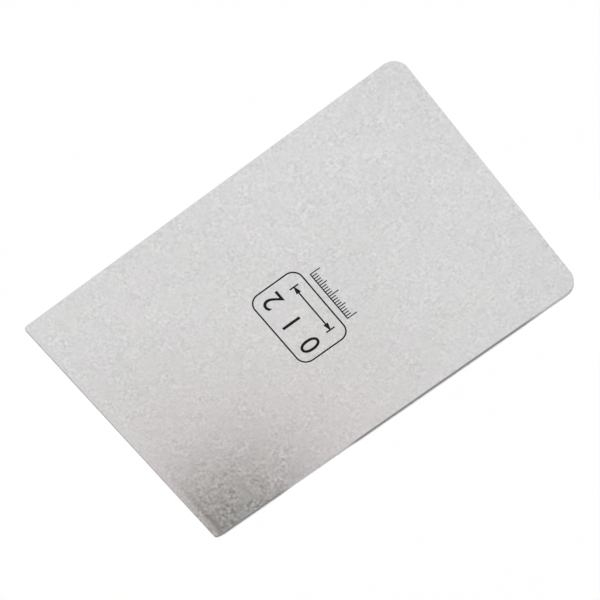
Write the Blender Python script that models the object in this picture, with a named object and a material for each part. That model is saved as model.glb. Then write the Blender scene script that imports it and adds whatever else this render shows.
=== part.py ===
"""Handle-less spatula: a thin steel sheet with a honed working edge and a printed centimetre scale.

Units are metres and +Z is up. The sheet lies flat with its underside at z = 0 and its middle at the origin.
The working edge is at -Y, the round rear corners are at +Y, and the printed face looks up.
"""

import math

import bmesh
import bpy

# Sheet
BLADE_WIDTH = 0.100
BLADE_LENGTH = 0.150
SHEET_THICKNESS = 0.0005
REAR_CORNER_RADIUS = 0.0055
FRONT_CORNER_RADIUS = 0.001
CORNER_SEGMENTS = 12

# Honed working edge: a slope ground into the printed face
HONED_WIDTH = 0.003
HONED_EDGE_THICKNESS = 0.00025

# Printed mark: its middle, measured from the middle of the sheet
MARK_SIDEWAYS = 0.0026
MARK_FORWARD = 0.0033

# Ink film, and the gap that keeps it from cutting into the steel
INK_THICKNESS = 0.00003
INK_CLEARANCE = 0.00001

# Centimetre scale of the mark: ticks that hang from one line
TICK_PITCH = 0.001
TICK_COUNT = 20
TICKS_PER_FIGURE = 10
TICKS_PER_MIDDLE = 5
TICK_WIDTH = 0.00035
TICK_SHORT = 0.0018
TICK_MIDDLE = 0.0027
TICK_LONG = 0.0036
SCALE_LINE = 0.0004
SCALE_LENGTH = TICK_COUNT * TICK_PITCH

# Figures, one above each long tick
FIGURE_HEIGHT = 0.007
FIGURE_CURVE_STEPS = 5

# Arrow along the scale: a line with two heads between two end bars
ARROW_HEIGHT = 0.0034
ARROW_LINE = 0.0005
ARROW_HEAD_LENGTH = 0.0024
ARROW_HEAD_HEIGHT = 0.0018

# Frame around figures and arrow, and the rows inside and below it
FRAME_MARGIN = 0.0024
FRAME_LINE = 0.0005
FRAME_CORNER_RADIUS = 0.004
ROW_GAP = 0.0034
SCALE_GAP = 0.002

STEEL = {"colour": (0.66, 0.655, 0.645, 1.0), "roughness": 0.4, "metallic": 1.0}
INK = {"colour": (0.018, 0.018, 0.02, 1.0), "roughness": 0.6, "metallic": 0.0}


def clear_scene():
    for obj in list(bpy.data.objects):
        bpy.data.objects.remove(obj, do_unlink=True)


def finish(name, look):
    material = bpy.data.materials.new(name)
    material.use_nodes = True
    shader = material.node_tree.nodes["Principled BSDF"]
    shader.inputs["Base Color"].default_value = look["colour"]
    shader.inputs["Roughness"].default_value = look["roughness"]
    shader.inputs["Metallic"].default_value = look["metallic"]
    return material


def add_object(name, data, material):
    obj = bpy.data.objects.new(name, data)
    data.materials.append(material)
    bpy.context.scene.collection.objects.link(obj)
    return obj


def add_solid(name, shape, material):
    """Makes the finished bmesh an object, with its faces pointing out."""
    bmesh.ops.recalc_face_normals(shape, faces=shape.faces[:])
    mesh = bpy.data.meshes.new(name)
    shape.to_mesh(mesh)
    shape.free()
    return add_object(name, mesh, material)


def flat_face(points):
    """One flat face through these points, at z = 0."""
    shape = bmesh.new()
    shape.faces.new([shape.verts.new((x, y, 0)) for x, y in points])
    return shape


def rectangle(width, length):
    x = width / 2
    y = length / 2
    return [(-x, -y), (x, -y), (x, y), (-x, y)]


def round_corners(shape, corners, radius):
    bmesh.ops.bevel(
        shape,
        geom=corners,
        offset=radius,
        offset_type="OFFSET",
        segments=CORNER_SEGMENTS,
        profile=0.5,
        affect="VERTICES",
    )


def thicken(shape, thickness):
    """Extrudes the flat faces upwards into a closed solid."""
    raised = bmesh.ops.extrude_face_region(shape, geom=shape.faces[:])["geom"]
    tops = [item for item in raised if isinstance(item, bmesh.types.BMVert)]
    bmesh.ops.translate(shape, verts=tops, vec=(0, 0, thickness))


def hone(shape):
    """Grinds the slope of the working edge into the upper face."""
    rise = SHEET_THICKNESS - HONED_EDGE_THICKNESS
    cut = bmesh.ops.bisect_plane(
        shape,
        geom=shape.verts[:] + shape.edges[:] + shape.faces[:],
        plane_co=(0, -BLADE_LENGTH / 2, HONED_EDGE_THICKNESS),
        plane_no=(0, -rise, HONED_WIDTH),
        clear_outer=True,
    )
    rim = [item for item in cut["geom_cut"] if isinstance(item, bmesh.types.BMEdge)]
    bmesh.ops.contextual_create(shape, geom=rim)


def make_blade(steel):
    shape = flat_face(rectangle(BLADE_WIDTH, BLADE_LENGTH))
    front = [corner for corner in shape.verts if corner.co.y < 0]
    rear = [corner for corner in shape.verts if corner.co.y > 0]
    round_corners(shape, front, FRONT_CORNER_RADIUS)
    round_corners(shape, rear, REAR_CORNER_RADIUS)
    thicken(shape, SHEET_THICKNESS)
    hone(shape)
    add_solid("blade", shape, steel)


def mark_carrier():
    """An empty in the middle of the mark. The mark reads upright with the working edge at the top."""
    carrier = bpy.data.objects.new("mark", None)
    carrier.location = (MARK_SIDEWAYS, -MARK_FORWARD, SHEET_THICKNESS + INK_CLEARANCE)
    carrier.rotation_euler.z = math.pi
    bpy.context.scene.collection.objects.link(carrier)
    return carrier


def figure_curve(text, size):
    curve = bpy.data.curves.new("figure", type="FONT")
    curve.body = text
    curve.align_x = "CENTER"
    curve.size = size
    curve.resolution_u = FIGURE_CURVE_STEPS
    curve.extrude = INK_THICKNESS / 2
    return curve


def figure_type():
    """Size of type that makes a nought as high as the figures, and how wide it then is."""
    sample = bpy.data.objects.new("sample", figure_curve("0", 1.0))
    bpy.context.scene.collection.objects.link(sample)
    bpy.context.view_layer.update()
    size = FIGURE_HEIGHT / sample.dimensions.y
    width = sample.dimensions.x * size
    bpy.data.objects.remove(sample, do_unlink=True)
    return size, width


def frame_inside():
    """Clear width and height inside the frame, which figures and arrow fill up to the margin."""
    width = SCALE_LENGTH + figure_type()[1] + 2 * FRAME_MARGIN
    height = FIGURE_HEIGHT + ROW_GAP + ARROW_HEIGHT + 2 * FRAME_MARGIN
    return width, height


def make_frame(ink, carrier):
    width, height = frame_inside()
    shape = flat_face(rectangle(width + 2 * FRAME_LINE, height + 2 * FRAME_LINE))
    round_corners(shape, shape.verts[:], FRAME_CORNER_RADIUS)
    middle = shape.faces[:]
    bmesh.ops.inset_region(
        shape, faces=middle, thickness=FRAME_LINE, use_boundary=True, use_even_offset=True
    )
    bmesh.ops.delete(shape, geom=middle, context="FACES")
    thicken(shape, INK_THICKNESS)
    add_solid("mark_frame", shape, ink).parent = carrier


def make_figures(ink, carrier):
    size = figure_type()[0]
    baseline = frame_inside()[1] / 2 - FRAME_MARGIN - FIGURE_HEIGHT
    for tick in range(0, TICK_COUNT + 1, TICKS_PER_FIGURE):
        text = str(tick // TICKS_PER_FIGURE)
        figure = add_object(f"mark_figure_{text}", figure_curve(text, size), ink)
        figure.location = (tick_place(tick), baseline, INK_THICKNESS / 2)
        figure.parent = carrier


def arrow_outline():
    """Outline of the arrow around its middle, from one quarter that is mirrored twice."""
    end = SCALE_LENGTH / 2
    bar = end - ARROW_LINE
    neck = bar - ARROW_HEAD_LENGTH
    line = ARROW_LINE / 2
    quarter = [
        (neck, line),
        (neck, ARROW_HEAD_HEIGHT / 2),
        (bar, line),
        (bar, ARROW_HEIGHT / 2),
        (end, ARROW_HEIGHT / 2),
    ]
    right = quarter + [(x, -y) for x, y in reversed(quarter)]
    return right + [(-x, -y) for x, y in right]


def make_arrow(ink, carrier):
    shape = flat_face(arrow_outline())
    thicken(shape, INK_THICKNESS)
    arrow = add_solid("mark_arrow", shape, ink)
    arrow.location.y = -frame_inside()[1] / 2 + FRAME_MARGIN + ARROW_HEIGHT / 2
    arrow.parent = carrier


def tick_place(tick):
    """How far the tick stands from the middle of the scale."""
    return (tick - TICK_COUNT / 2) * TICK_PITCH


def tick_length(tick):
    if tick % TICKS_PER_FIGURE == 0:
        return TICK_LONG
    if tick % TICKS_PER_MIDDLE == 0:
        return TICK_MIDDLE
    return TICK_SHORT


def scale_outline():
    """Outline of a comb that hangs its ticks from a line at y = 0."""
    outline = []
    for tick in range(TICK_COUNT + 1):
        left = tick_place(tick) - TICK_WIDTH / 2
        right = tick_place(tick) + TICK_WIDTH / 2
        tip = -SCALE_LINE - tick_length(tick)
        outline += [(left, -SCALE_LINE), (left, tip), (right, tip), (right, -SCALE_LINE)]
    first = outline.pop(0)
    last = outline.pop()
    return outline + [(last[0], 0), (first[0], 0)]


def make_scale(ink, carrier):
    shape = flat_face(scale_outline())
    thicken(shape, INK_THICKNESS)
    scale = add_solid("mark_scale", shape, ink)
    scale.location.y = -frame_inside()[1] / 2 - FRAME_LINE - SCALE_GAP
    scale.parent = carrier


def main():
    clear_scene()
    steel = finish("satin_steel", STEEL)
    ink = finish("black_ink", INK)
    make_blade(steel)
    carrier = mark_carrier()
    make_frame(ink, carrier)
    make_figures(ink, carrier)
    make_arrow(ink, carrier)
    make_scale(ink, carrier)


main()
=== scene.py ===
"""Looks of the handle-less spatula: satin steel sheet, honed working edge and printed centimetre scale.

Units are metres and +Z is up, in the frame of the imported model. The working edge is at -Y.
"""

import math

import bmesh
import bpy
from mathutils import Matrix, Vector


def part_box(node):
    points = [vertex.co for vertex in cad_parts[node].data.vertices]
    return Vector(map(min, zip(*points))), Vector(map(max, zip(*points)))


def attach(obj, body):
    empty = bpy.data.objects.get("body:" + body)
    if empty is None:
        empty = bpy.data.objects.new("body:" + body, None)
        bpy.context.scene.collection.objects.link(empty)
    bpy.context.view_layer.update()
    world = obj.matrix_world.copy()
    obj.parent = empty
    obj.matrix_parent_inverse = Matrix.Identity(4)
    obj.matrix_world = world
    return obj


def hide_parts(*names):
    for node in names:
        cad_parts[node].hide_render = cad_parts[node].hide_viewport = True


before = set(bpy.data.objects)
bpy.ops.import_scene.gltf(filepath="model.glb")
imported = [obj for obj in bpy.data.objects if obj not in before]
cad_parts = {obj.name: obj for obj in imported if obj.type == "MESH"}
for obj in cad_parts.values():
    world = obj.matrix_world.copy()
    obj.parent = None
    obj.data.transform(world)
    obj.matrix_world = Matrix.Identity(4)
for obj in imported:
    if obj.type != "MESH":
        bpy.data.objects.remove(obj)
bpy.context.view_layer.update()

# Sheet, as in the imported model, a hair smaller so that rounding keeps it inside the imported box
BLADE_LOW, BLADE_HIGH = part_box("blade")
SHEET_INSIDE = 0.99999
BLADE_WIDTH = (BLADE_HIGH.x - BLADE_LOW.x) * SHEET_INSIDE
BLADE_LENGTH = (BLADE_HIGH.y - BLADE_LOW.y) * SHEET_INSIDE
SHEET_THICKNESS = (BLADE_HIGH.z - BLADE_LOW.z) * SHEET_INSIDE
REAR_CORNER_RADIUS = 0.0055
FRONT_CORNER_RADIUS = 0.001
CORNER_SEGMENTS = 16

# Slope that is honed into the upper face along the front, and the way it faces
HONED_WIDTH = 0.003
HONED_EDGE_THICKNESS = 0.00025
HONED_RISE = SHEET_THICKNESS - HONED_EDGE_THICKNESS
SLOPE_FACING = Vector((0, -HONED_RISE, HONED_WIDTH))

# Soft ridge where the honed slope runs out into the flat face
RIDGE_LINE = HONED_WIDTH - BLADE_LENGTH / 2
RIDGE_ROUNDING = 0.0011
RIDGE_SEGMENTS = 8

# Rounding that tumbling leaves on the cut edges of the sheet
SHARP_ANGLE = math.radians(40)
RIM_ROUNDING = 0.00007
RIM_SEGMENTS = 3

# Order of the blade's finishes in its material slots, and the cosines that tell its faces apart
SATIN_SLOT, HONED_SLOT, CUT_SLOT = range(3)
SAME_WAY = 0.99999
NEARLY_UPRIGHT = 0.99

# Sockets of a Mix node, which gives its values the same names for each kind of data
MIX_SHARE = 0
MIX_NUMBER_A, MIX_NUMBER_B, MIX_NUMBER_OUT = 2, 3, 0
MIX_COLOUR_A, MIX_COLOUR_B, MIX_COLOUR_OUT = 6, 7, 2

# Value that noise wavers about
NOISE_MIDDLE = 0.5

# Colour of the steel, with faint cool and warm clouds and faint smudges
STEEL_COOL = (0.715, 0.722, 0.714, 1.0)
STEEL_COLOUR = (0.720, 0.720, 0.719, 1.0)
STEEL_WARM = (0.726, 0.718, 0.717, 1.0)
TINT_PATCH = 0.014
TINT_NOISE = (0.36, 0.5, 0.64)
SMUDGE_PATCH = 0.045
SMUDGE_NOISE = (0.3, 0.55)
SMUDGE_SHADE = (0.97, 1.0)

# Grain of the rolled sheet, weak in some patches and strong in others, and what it does to the steel.
# Its cells are half a sheet high and shifted: a face on the border between cells would show a grid
GRAIN_SIZE = 0.00092
GRAIN_CELL = (GRAIN_SIZE, GRAIN_SIZE, SHEET_THICKNESS / 2)
GRAIN_SHIFT = (0.0, 0.0, -1.4565)
GRAIN_RANGE = (0.2, 0.8)
GRAIN_PATCH = 0.006
PATCH_NOISE = (0.35, 0.65)
PATCH_STRENGTH = (0.4, 1.1)
GRAIN_DEPTH = 0.00003
GRAIN_SHADE = 0.215
FACE_ROUGHNESS = (0.276, 0.405)

# Lines that grinding leaves across the sheet, and the strengths of grain and lines on faces and slope
GROUND_LINE = (0.015, 0.0005, 0.0005)
FACE_STRENGTHS = {"grain": 1.0, "lines": 0.0}
SLOPE_STRENGTHS = {"grain": 0.9, "lines": 0.1}

# Worn band along the ridge, which fades out to both sides
WORN_REACH = 0.0018
WORN_ROUGHNESS = (0.276, 0.290)

# Sheared rim: its upright marks, and the heights between which torn steel gives way to the smooth cut
SHEAR_MARK = (0.0002, 0.0002, 0.0016)
SHEAR_DEPTH = 0.00001
TEAR_HEIGHTS = (0.0003, 0.000345)
SMOOTH_LIFT = 0.2
RIM_NOISE = (0.25, 0.95)
RIM_SHADE = (0.58, 0.80)
RIM_ROUGHNESS = (0.5, 0.3)

# Ink of the printed scale, uneven from dark and smoother to a little lighter and rougher
INK_PATCH = 0.0004
INK_DEPTH = 0.000004
INK_DARK = (0.004, 0.004, 0.004, 1.0)
INK_LIGHT = (0.012, 0.012, 0.013, 1.0)
INK_COLOUR_NOISE = (0.3, 0.75)
INK_ROUGH_NOISE = (0.3, 0.7)
INK_ROUGHNESS = (0.5, 0.65)
INK_SPECULAR = 0.15

# Camera of the photograph, which is square, with lens and sensor in millimetres
CAMERA_PLACE = Vector((-0.30776, 0.18510, 0.75583))
CAMERA_RIGHT = Vector((0.60580, 0.79397, 0.05111))
CAMERA_UP = Vector((-0.70661, 0.56643, -0.42410))
CAMERA_LENS = 155.58
CAMERA_SENSOR = 36.0

# Studio: a white paper floor, which gives a hair under the sheet, a white sky that is darker towards one
# side and near the horizon, and a soft lamp on the other side
FLOOR_SIZE = 6.0
FLOOR_COLOUR = (0.9, 0.9, 0.9, 1.0)
FLOOR_GLOW = 0.09
FLOOR_GIVE = 0.00002
SKY_COLOUR = (1.0, 1.0, 1.0, 1.0)
SKY_DARK_SIDE = Vector((0.963, -0.270, 0.0))
SKY_DARK_FROM = 0.478
SKY_DARKEST = 0.356
SKY_HORIZON = 0.4
SKY_HORIZON_ENDS = 0.75
SKY_FILL = 0.22
KEY_DIRECTION = Vector((0.80, -0.43, -0.33))
KEY_ANGLE = math.radians(10)
KEY_STRENGTH = 7.5

# Two faint spots from above, which thin out the shadow along two stretches of the right side
SPOT_HEIGHT = 0.8
SPOT_BLEND = 0.65
FRONT_SPOT = {"x": 0.052, "y": -0.0315, "reach": 0.017, "power": 6.6}
REAR_SPOT = {"x": 0.052, "y": 0.080, "reach": 0.029, "power": 6.0}

# Oval card above the front right corner that the steel reflects: dark felt with a thin rosy veil around it
CARD_PLACE = Vector((0.1128, -0.1106, 0.12))
CARD_HALF_WIDTH = 0.0900
CARD_HALF_LENGTH = 0.1100
CARD_SEGMENTS = 64
FELT_COLOUR = (0.04, 0.055, 0.018)
VEIL_COLOUR = (0.92, 0.39, 0.37)
VEIL_COVER = 0.118
FELT_DENSE_TO = 0.325
FELT_ENDS_AT = 0.384
VEIL_FADES_FROM = 0.727


def add_piece(name, shape, materials):
    """Makes the finished bmesh an object of the scene."""
    mesh = bpy.data.meshes.new(name)
    shape.to_mesh(mesh)
    shape.free()
    for material in materials:
        mesh.materials.append(material)
    piece = bpy.data.objects.new(name, mesh)
    bpy.context.scene.collection.objects.link(piece)
    return piece


def add_lamp(name, data):
    """Adds a lamp that lights the floor and the ink, but doesn't show in the steel."""
    lamp = bpy.data.objects.new(name, data)
    lamp.visible_glossy = False
    bpy.context.scene.collection.objects.link(lamp)
    return lamp


def add_node(tree, kind, inputs=None, **settings):
    """Adds a node. Each input is a plain value or the output that feeds it."""
    node = tree.nodes.new(kind)
    for name, value in settings.items():
        setattr(node, name, value)
    for name, value in (inputs or {}).items():
        if isinstance(value, bpy.types.NodeSocket):
            tree.links.new(value, node.inputs[name])
        else:
            node.inputs[name].default_value = value
    return node


def new_material(name):
    material = bpy.data.materials.new(name)
    material.use_nodes = True
    material.node_tree.nodes.clear()
    return material, material.node_tree


def new_group(name, inputs, outputs):
    """An empty shader node group with these sockets: its tree, its input node and its output node."""
    tree = bpy.data.node_groups.new(name, "ShaderNodeTree")
    for socket, kind in inputs:
        tree.interface.new_socket(socket, in_out="INPUT", socket_type=kind)
    for socket, kind in outputs:
        tree.interface.new_socket(socket, in_out="OUTPUT", socket_type=kind)
    return tree, tree.nodes.new("NodeGroupInput"), tree.nodes.new("NodeGroupOutput")


def object_place(tree):
    return add_node(tree, "ShaderNodeTexCoord").outputs["Object"]


def axes_of(tree, place):
    return add_node(tree, "ShaderNodeSeparateXYZ", {"Vector": place}).outputs


def math_node(tree, operation, *values):
    return add_node(tree, "ShaderNodeMath", dict(enumerate(values)), operation=operation).outputs["Value"]


def vector_math(tree, operation, *values):
    return add_node(tree, "ShaderNodeVectorMath", dict(enumerate(values)), operation=operation).outputs


def noise(tree, place, size, detail, shift=(0.0, 0.0, 0.0)):
    """Cloudy noise with cells of this size along x, y and z, shifted by this many cells."""
    mapping = {"Vector": place, "Scale": [1.0 / length for length in size], "Location": shift}
    cells = add_node(tree, "ShaderNodeMapping", mapping).outputs["Vector"]
    inputs = {"Vector": cells, "Scale": 1.0, "Detail": detail}
    return add_node(tree, "ShaderNodeTexNoise", inputs).outputs["Fac"]


def ramp(tree, factor, stops, interpolation="LINEAR"):
    """Colour ramp through stops of (position, colour)."""
    node = add_node(tree, "ShaderNodeValToRGB", {"Fac": factor})
    node.color_ramp.interpolation = interpolation
    elements = node.color_ramp.elements
    while len(elements) < len(stops):
        elements.new(1.0)
    for element, (position, colour) in zip(elements, stops):
        element.position = position
        element.color = colour
    return node


def grey_ramp(tree, factor, positions, greys):
    """Greys that follow each other along a factor."""
    stops = [(position, (grey, grey, grey, 1.0)) for position, grey in zip(positions, greys)]
    return ramp(tree, factor, stops).outputs["Color"]


def map_range(tree, value, source, target, kind="LINEAR"):
    """Takes a value from one range to another, and no further than its ends."""
    inputs = {
        "Value": value,
        "From Min": source[0],
        "From Max": source[1],
        "To Min": target[0],
        "To Max": target[1],
    }
    return add_node(tree, "ShaderNodeMapRange", inputs, interpolation_type=kind).outputs["Result"]


def mix_numbers(tree, share, first, second):
    """The first number, or the second where its share is one."""
    inputs = {MIX_SHARE: share, MIX_NUMBER_A: first, MIX_NUMBER_B: second}
    return add_node(tree, "ShaderNodeMix", inputs).outputs[MIX_NUMBER_OUT]


def multiply(tree, first, second):
    """Product of two colours."""
    inputs = {MIX_SHARE: 1.0, MIX_COLOUR_A: first, MIX_COLOUR_B: second}
    node = add_node(tree, "ShaderNodeMix", inputs, data_type="RGBA", blend_type="MULTIPLY")
    return node.outputs[MIX_COLOUR_OUT]


def patchy_grain(tree, place, strength):
    """Fine grain of the rolled sheet, which is strong in some patches and weak in others."""
    fine = noise(tree, place, GRAIN_CELL, detail=0.0, shift=GRAIN_SHIFT)
    clouds = noise(tree, place, [GRAIN_PATCH] * 3, detail=1.0)
    patch = map_range(tree, clouds, PATCH_NOISE, PATCH_STRENGTH)
    share = math_node(tree, "MULTIPLY", patch, strength)
    swing = math_node(tree, "SUBTRACT", fine, NOISE_MIDDLE)
    return math_node(tree, "MULTIPLY_ADD", swing, share, NOISE_MIDDLE)


def steel_tint(tree, place):
    """Colour of the steel with faint cool and warm clouds and faint smudges."""
    clouds = noise(tree, place, [TINT_PATCH] * 3, detail=2.0)
    tints = list(zip(TINT_NOISE, (STEEL_COOL, STEEL_COLOUR, STEEL_WARM)))
    colour = ramp(tree, clouds, tints).outputs["Color"]
    smudge = noise(tree, place, [SMUDGE_PATCH] * 3, detail=2.0)
    return multiply(tree, colour, grey_ramp(tree, smudge, SMUDGE_NOISE, SMUDGE_SHADE))


def worn_band(tree, place):
    """One on the ridge of the upper face, and less and less to both sides of it."""
    axes = axes_of(tree, place)
    away = math_node(tree, "ABSOLUTE", math_node(tree, "SUBTRACT", axes["Y"], RIDGE_LINE))
    near = map_range(tree, away, (0.0, WORN_REACH), (1.0, 0.0), "SMOOTHSTEP")
    upper = math_node(tree, "GREATER_THAN", axes["Z"], SHEET_THICKNESS / 2)
    return math_node(tree, "MULTIPLY", near, upper)


def satin_finish_group():
    """Finish of the sheet: fine grain, ground lines, faint clouds of colour, and wear along the ridge.

    Pale specks of the grain are rougher than the rest, and the worn band is smoother.
    """
    tree, source, result = new_group(
        "satin_finish",
        [("Place", "NodeSocketVector"), ("Grain", "NodeSocketFloat"), ("Lines", "NodeSocketFloat")],
        [("Colour", "NodeSocketColor"), ("Roughness", "NodeSocketFloat"), ("Height", "NodeSocketFloat")],
    )
    place = source.outputs["Place"]
    grain = patchy_grain(tree, place, source.outputs["Grain"])
    lines = math_node(tree, "SUBTRACT", noise(tree, place, GROUND_LINE, detail=2.0), NOISE_MIDDLE)
    height = math_node(tree, "MULTIPLY_ADD", lines, source.outputs["Lines"], grain)
    shade = grey_ramp(tree, height, (0.0, 1.0), (1.0 - GRAIN_SHADE, 1.0 + GRAIN_SHADE))
    face = map_range(tree, height, GRAIN_RANGE, FACE_ROUGHNESS)
    worn = map_range(tree, height, GRAIN_RANGE, WORN_ROUGHNESS)
    roughness = mix_numbers(tree, worn_band(tree, place), face, worn)
    tree.links.new(multiply(tree, steel_tint(tree, place), shade), result.inputs["Colour"])
    tree.links.new(roughness, result.inputs["Roughness"])
    tree.links.new(height, result.inputs["Height"])
    return tree


def shine(tree, colour, roughness, height, depth, metallic=1.0, specular=0.5):
    """Shader of a finished surface. Its height runs from 0 to 1 over this depth."""
    bump = add_node(tree, "ShaderNodeBump", {"Height": height, "Strength": 1.0, "Distance": depth})
    inputs = {
        "Base Color": colour,
        "Roughness": roughness,
        "Metallic": metallic,
        "Specular IOR Level": specular,
        "Normal": bump.outputs["Normal"],
    }
    shader = add_node(tree, "ShaderNodeBsdfPrincipled", inputs)
    add_node(tree, "ShaderNodeOutputMaterial", {"Surface": shader.outputs["BSDF"]})


def satin_steel(name, finish_group, grain, lines):
    """Light steel with the satin finish, at these strengths of its grain and its ground lines."""
    material, tree = new_material(name)
    inputs = {"Place": object_place(tree), "Grain": grain, "Lines": lines}
    finish = add_node(tree, "ShaderNodeGroup", inputs, node_tree=finish_group).outputs
    shine(tree, finish["Colour"], finish["Roughness"], finish["Height"], GRAIN_DEPTH)
    return material


def cut_steel():
    """Sheared rim of the sheet: smooth near the printed face, torn below, with upright marks."""
    material, tree = new_material("cut_steel")
    place = object_place(tree)
    marks = noise(tree, place, SHEAR_MARK, detail=2.0)
    smooth = map_range(tree, axes_of(tree, place)["Z"], TEAR_HEIGHTS, (0.0, 1.0), "SMOOTHSTEP")
    lifted = math_node(tree, "MULTIPLY_ADD", smooth, SMOOTH_LIFT, marks)
    colour = grey_ramp(tree, lifted, RIM_NOISE, RIM_SHADE)
    roughness = map_range(tree, lifted, RIM_NOISE, RIM_ROUGHNESS)
    shine(tree, colour, roughness, marks, SHEAR_DEPTH)
    return material


def black_ink():
    """Thin matt print, a little uneven."""
    material, tree = new_material("black_ink")
    uneven = noise(tree, object_place(tree), [INK_PATCH] * 3, detail=3.0)
    shades = list(zip(INK_COLOUR_NOISE, (INK_DARK, INK_LIGHT)))
    colour = ramp(tree, uneven, shades).outputs["Color"]
    roughness = map_range(tree, uneven, INK_ROUGH_NOISE, INK_ROUGHNESS)
    shine(tree, colour, roughness, uneven, INK_DEPTH, metallic=0.0, specular=INK_SPECULAR)
    return material


def bevel(shape, geometry, width, segments, affect):
    bmesh.ops.bevel(
        shape,
        geom=geometry,
        offset=width,
        offset_type="OFFSET",
        segments=segments,
        profile=0.5,
        affect=affect,
        clamp_overlap=True,
        material=-1,
    )


def cut_sheet():
    """The sheet as it leaves the press: a flat outline with round corners, extruded to its thickness."""
    shape = bmesh.new()
    bmesh.ops.create_grid(shape, x_segments=1, y_segments=1, size=1.0)
    bmesh.ops.scale(shape, vec=(BLADE_WIDTH / 2, BLADE_LENGTH / 2, 1.0), verts=shape.verts)
    front = [corner for corner in shape.verts if corner.co.y < 0]
    rear = [corner for corner in shape.verts if corner.co.y > 0]
    bevel(shape, front, FRONT_CORNER_RADIUS, CORNER_SEGMENTS, "VERTICES")
    bevel(shape, rear, REAR_CORNER_RADIUS, CORNER_SEGMENTS, "VERTICES")
    raised = bmesh.ops.extrude_face_region(shape, geom=shape.faces[:])["geom"]
    tops = [item for item in raised if isinstance(item, bmesh.types.BMVert)]
    bmesh.ops.translate(shape, verts=tops, vec=(0, 0, SHEET_THICKNESS))
    return shape


def hone(shape):
    """Grinds the slope of the working edge into the upper face, and softens the ridge above it."""
    cut = bmesh.ops.bisect_plane(
        shape,
        geom=shape.verts[:] + shape.edges[:] + shape.faces[:],
        plane_co=(0, -BLADE_LENGTH / 2, HONED_EDGE_THICKNESS),
        plane_no=SLOPE_FACING,
        clear_outer=True,
    )
    rim = [item for item in cut["geom_cut"] if isinstance(item, bmesh.types.BMEdge)]
    slope = bmesh.ops.contextual_create(shape, geom=rim)["faces"][0]
    ridge = max(slope.edges, key=lambda edge: edge.verts[0].co.z + edge.verts[1].co.z)
    bevel(shape, [ridge], RIDGE_ROUNDING, RIDGE_SEGMENTS, "EDGES")


def tumble_edges(shape):
    """Rounds the cut edges of the sheet a little."""
    bmesh.ops.recalc_face_normals(shape, faces=shape.faces[:])
    sharp = [edge for edge in shape.edges if edge.calc_face_angle() > SHARP_ANGLE]
    bevel(shape, sharp, RIM_ROUNDING, RIM_SEGMENTS, "EDGES")
    bmesh.ops.recalc_face_normals(shape, faces=shape.faces[:])


def share_finishes(shape):
    """Gives each face its finish: the honed slope, the satin sheet with its ridge, or the cut rim.

    The rim is shaded smooth, apart from the four flat sides.
    """
    slope = SLOPE_FACING.normalized()
    for face in shape.faces:
        upright = abs(face.normal.z)
        sideways = max(abs(face.normal.x), abs(face.normal.y))
        if face.normal.dot(slope) > SAME_WAY:
            face.material_index = HONED_SLOT
        elif upright > NEARLY_UPRIGHT:
            face.material_index = SATIN_SLOT
        else:
            face.material_index = CUT_SLOT
            face.smooth = sideways < SAME_WAY


def make_blade(finishes):
    shape = cut_sheet()
    hone(shape)
    tumble_edges(shape)
    share_finishes(shape)
    blade = add_piece("steel_blade", shape, finishes)
    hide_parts("blade")
    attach(blade, "root")


def print_mark(ink):
    """Inks the films of the printed scale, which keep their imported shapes."""
    for name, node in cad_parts.items():
        if name.startswith("mark_"):
            for slot in node.material_slots:
                slot.material = ink


def seen_directly(tree):
    """One where a surface is seen, also in a mirror or through glass, and nought where it gives light."""
    path = add_node(tree, "ShaderNodeLightPath").outputs
    mirrored = math_node(tree, "MAXIMUM", path["Is Camera Ray"], path["Is Glossy Ray"])
    seen = math_node(tree, "MAXIMUM", mirrored, path["Is Transmission Ray"])
    return math_node(tree, "MULTIPLY", seen, math_node(tree, "LESS_THAN", path["Diffuse Depth"], 1.0))


def white_paper():
    """Floor paper, which glows a little where it is seen directly, to make it white."""
    material, tree = new_material("white_paper")
    glow = map_range(tree, seen_directly(tree), (0.0, 1.0), (0.0, FLOOR_GLOW))
    paper = add_node(tree, "ShaderNodeBsdfDiffuse", {"Color": FLOOR_COLOUR})
    light = add_node(tree, "ShaderNodeEmission", {"Strength": glow})
    both = add_node(tree, "ShaderNodeAddShader", {0: paper.outputs["BSDF"], 1: light.outputs["Emission"]})
    add_node(tree, "ShaderNodeOutputMaterial", {"Surface": both.outputs["Shader"]})
    material.cycles.emission_sampling = "NONE"
    return material


def make_floor():
    shape = bmesh.new()
    bmesh.ops.create_grid(shape, x_segments=1, y_segments=1, size=FLOOR_SIZE / 2)
    bmesh.ops.translate(shape, verts=shape.verts, vec=(0, 0, FLOOR_GIVE))
    floor = add_piece("floor", shape, [white_paper()])


def make_sky():
    """White surroundings, which light the floor more weakly than they look."""
    world = bpy.data.worlds.new("studio")
    world.use_nodes = True
    tree = world.node_tree
    tree.nodes.clear()
    direction = add_node(tree, "ShaderNodeTexCoord").outputs["Generated"]
    turn = vector_math(tree, "DOT_PRODUCT", direction, SKY_DARK_SIDE)["Value"]
    side = map_range(tree, turn, (SKY_DARK_FROM, 1.0), (1.0, SKY_DARKEST))
    rise = math_node(tree, "ABSOLUTE", axes_of(tree, direction)["Z"])
    low = map_range(tree, rise, (0.0, SKY_HORIZON_ENDS), (SKY_HORIZON, 1.0), "SMOOTHSTEP")
    shade = math_node(tree, "MINIMUM", side, low)
    share = map_range(tree, seen_directly(tree), (0.0, 1.0), (SKY_FILL, 1.0))
    strength = math_node(tree, "MULTIPLY", shade, share)
    sky = add_node(tree, "ShaderNodeBackground", {"Color": SKY_COLOUR, "Strength": strength})
    add_node(tree, "ShaderNodeOutputWorld", {"Surface": sky.outputs["Background"]})
    world.cycles.sampling_method = "NONE"
    bpy.context.scene.world = world


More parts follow.
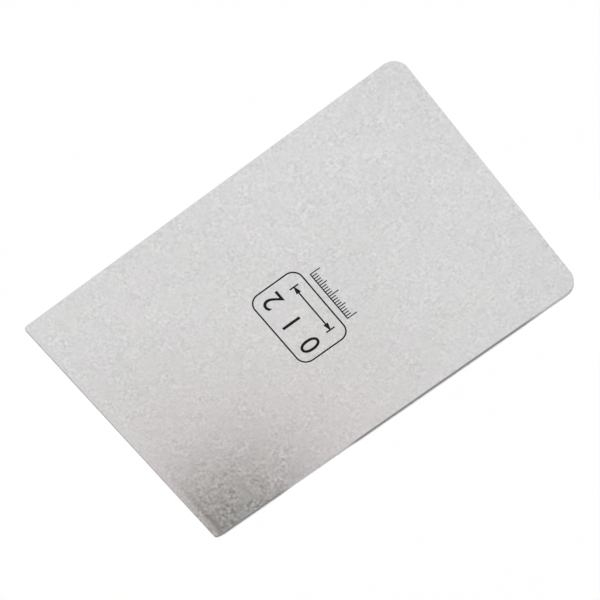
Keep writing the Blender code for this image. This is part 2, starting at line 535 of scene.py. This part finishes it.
def make_key():
    """Soft lamp that gives the sheet its thin shadow."""
    data = bpy.data.lights.new("key", "SUN")
    data.angle = KEY_ANGLE
    data.energy = KEY_STRENGTH
    key = add_lamp("key", data)
    key.rotation_euler = KEY_DIRECTION.to_track_quat("-Z", "Y").to_euler()


def make_spot(name, spot):
    """Spot that points straight down at its place on the floor."""
    data = bpy.data.lights.new(name, "SPOT")
    data.energy = spot["power"]
    data.spot_size = 2.0 * math.atan(spot["reach"] / SPOT_HEIGHT)
    data.spot_blend = SPOT_BLEND
    lamp = add_lamp(name, data)
    lamp.location = (spot["x"], spot["y"], SPOT_HEIGHT)


def dark_felt():
    """Felt of the card, dense in the middle, with a thin veil around it that fades out at the rim."""
    material, tree = new_material("dark_felt")
    offset = vector_math(tree, "SUBTRACT", object_place(tree), CARD_PLACE)["Vector"]
    share = vector_math(tree, "DIVIDE", offset, (CARD_HALF_WIDTH, CARD_HALF_LENGTH, 1.0))["Vector"]
    far = vector_math(tree, "LENGTH", share)["Value"]
    stops = [
        (FELT_DENSE_TO, (*FELT_COLOUR, 1.0)),
        (FELT_ENDS_AT, (*VEIL_COLOUR, VEIL_COVER)),
        (VEIL_FADES_FROM, (*VEIL_COLOUR, VEIL_COVER)),
        (1.0, (*VEIL_COLOUR, 0.0)),
    ]
    cloth = ramp(tree, far, stops, "EASE").outputs
    felt = add_node(tree, "ShaderNodeBsdfDiffuse", {"Color": cloth["Color"]})
    clear = add_node(tree, "ShaderNodeBsdfTransparent")
    inputs = {0: cloth["Alpha"], 1: clear.outputs["BSDF"], 2: felt.outputs["BSDF"]}
    both = add_node(tree, "ShaderNodeMixShader", inputs)
    add_node(tree, "ShaderNodeOutputMaterial", {"Surface": both.outputs["Shader"]})
    return material


def make_card():
    """Oval card above the front right corner, which only shows as a blurred reflection in the steel."""
    shape = bmesh.new()
    bmesh.ops.create_circle(shape, cap_ends=True, segments=CARD_SEGMENTS, radius=1.0)
    bmesh.ops.scale(shape, verts=shape.verts, vec=(CARD_HALF_WIDTH, CARD_HALF_LENGTH, 1.0))
    bmesh.ops.translate(shape, verts=shape.verts, vec=CARD_PLACE)
    card = add_piece("card", shape, [dark_felt()])
    card.visible_camera = False
    card.visible_diffuse = False
    card.visible_shadow = False


def make_camera():
    data = bpy.data.cameras.new("camera")
    data.lens = CAMERA_LENS
    data.sensor_width = CAMERA_SENSOR
    camera = bpy.data.objects.new("camera", data)
    back = CAMERA_RIGHT.cross(CAMERA_UP)
    turn = Matrix((CAMERA_RIGHT, CAMERA_UP, back)).transposed()
    camera.matrix_world = Matrix.Translation(CAMERA_PLACE) @ turn.to_4x4()
    bpy.context.scene.collection.objects.link(camera)
    bpy.context.scene.camera = camera


bpy.context.scene.view_settings.view_transform = "Standard"
finish_group = satin_finish_group()
satin = satin_steel("satin_steel", finish_group, **FACE_STRENGTHS)
honed = satin_steel("honed_steel", finish_group, **SLOPE_STRENGTHS)
make_blade([satin, honed, cut_steel()])
print_mark(black_ink())
make_floor()
make_sky()
make_key()
make_spot("front_spot", FRONT_SPOT)
make_spot("rear_spot", REAR_SPOT)
make_card()
make_camera()
